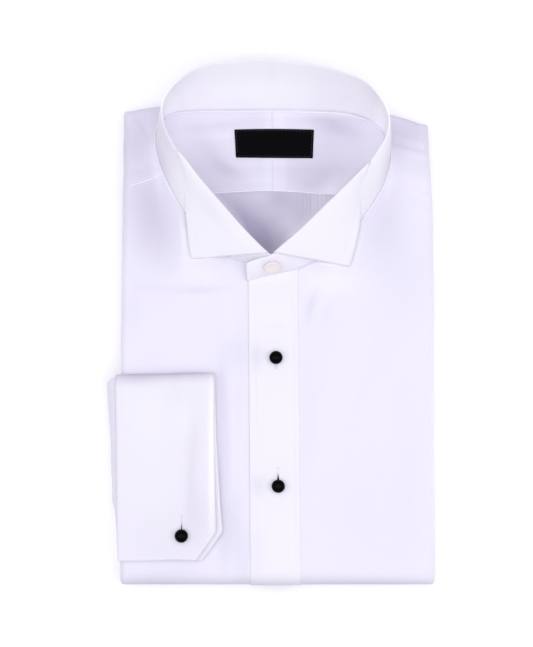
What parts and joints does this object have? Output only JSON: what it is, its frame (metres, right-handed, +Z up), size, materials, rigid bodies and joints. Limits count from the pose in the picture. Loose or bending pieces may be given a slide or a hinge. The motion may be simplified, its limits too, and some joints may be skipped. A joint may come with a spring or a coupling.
{
  "type": "long sleeve dress shirt",
  "caption": "Folded long sleeve formal dress shirt in white cotton, with a standing wing collar, black shirt studs in the placket and a linked cuff turned onto the front.",
  "frame": {"origin": "centre of the footprint, on the surface the folded shirt lies on", "axes": "+X towards the wearer's left side, +Y from the hem fold towards the collar, +Z up from the surface"},
  "size_m": [0.236, 0.3742, 0.0558],
  "materials": {
    "poplin": "white cotton poplin",
    "interlined": "white cotton poplin over interlining, pressed smooth",
    "ivory": "ivory button",
    "onyx": "polished black",
    "label": "black woven label"
  },
  "bodies": {
    "root": {"folded_core": "poplin", "front_right": "poplin", "front_left": "poplin", "yoke_shoulder_right": "poplin", "yoke_shoulder_left": "poplin", "yoke_inside_right": "poplin", "yoke_inside_left": "poplin", "back_panel": "poplin", "placket": "interlined", "collar_band": "interlined", "collar_wing_right": "interlined", "collar_wing_left": "interlined", "cuff_right": "interlined", "sleeve_right": "poplin", "collar_button": "ivory", "stud_upper": "onyx", "stud_lower": "onyx", "cuff_link": "onyx", "neck_label": "label"}
  },
  "joints": []
}
